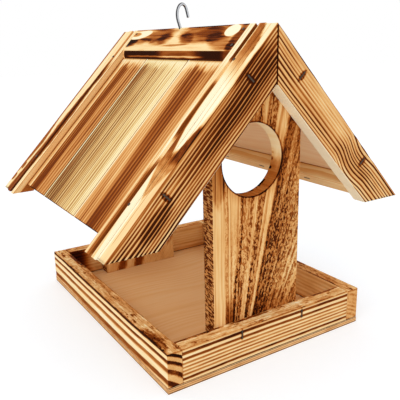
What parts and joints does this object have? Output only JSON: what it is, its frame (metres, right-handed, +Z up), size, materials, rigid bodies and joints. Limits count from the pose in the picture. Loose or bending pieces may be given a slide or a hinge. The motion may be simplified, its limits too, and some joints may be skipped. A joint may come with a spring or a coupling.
{
  "type": "bird feeder",
  "caption": "Open tray on two posts with round holes under a steep gable roof of planks, hung from a screw hook in the ridge.",
  "frame": {"origin": "on the ground under the middle of the tray", "axes": "+Z up, the front gable faces -Y, +X to the right seen from the front, the ridge along Y"},
  "size_m": [0.3962, 0.3506, 0.395],
  "materials": {
    "tray_plywood": "bare pale plywood with fine grain",
    "tray_board": "torched spruce, brown growth lines on pale wood",
    "post_wood": "torched spruce, dark speckled vertical streaks",
    "rake_wood": "torched spruce, dark growth lines along the board",
    "lath_wood": "torched spruce, tan with brown burns",
    "plank_wood": "torched spruce panelling, cream with brown streaks",
    "liner_plywood": "bare pale plywood",
    "batten_wood": "bare pale spruce",
    "slat_wood": "torched spruce with brown patches",
    "zinc_wire": "bright zinc-plated wire",
    "staple_steel": "galvanised staple wire"
  },
  "bodies": {
    "root": {"tray_floor": "tray_plywood", "tray_side_left": "tray_board", "tray_side_right": "tray_board", "tray_front_board": "tray_board", "tray_rear_board": "tray_board", "front_post": "post_wood", "rear_post": "post_wood", "rake_front_left": "rake_wood", "rake_front_right": "rake_wood", "rake_rear_left": "rake_wood", "rake_rear_right": "rake_wood", "edge_lath_front_left": "lath_wood", "edge_lath_front_right": "lath_wood", "edge_lath_rear_left": "lath_wood", "edge_lath_rear_right": "lath_wood", "roof_plank_left_1": "plank_wood", "roof_plank_left_2": "plank_wood", "roof_plank_left_3": "plank_wood", "roof_plank_right_1": "plank_wood", "roof_plank_right_2": "plank_wood", "roof_plank_right_3": "plank_wood", "roof_liner_left": "liner_plywood", "roof_liner_right": "liner_plywood", "eave_batten_left": "batten_wood", "eave_batten_right": "batten_wood", "ridge_slat_left": "slat_wood", "ridge_slat_right": "slat_wood", "hanging_hook": "zinc_wire", "rake_staples": "staple_steel", "post_staples": "staple_steel", "floor_staples": "staple_steel", "roof_staples": "staple_steel", "slat_nails": "staple_steel", "lath_nails": "staple_steel"}
  },
  "joints": []
}
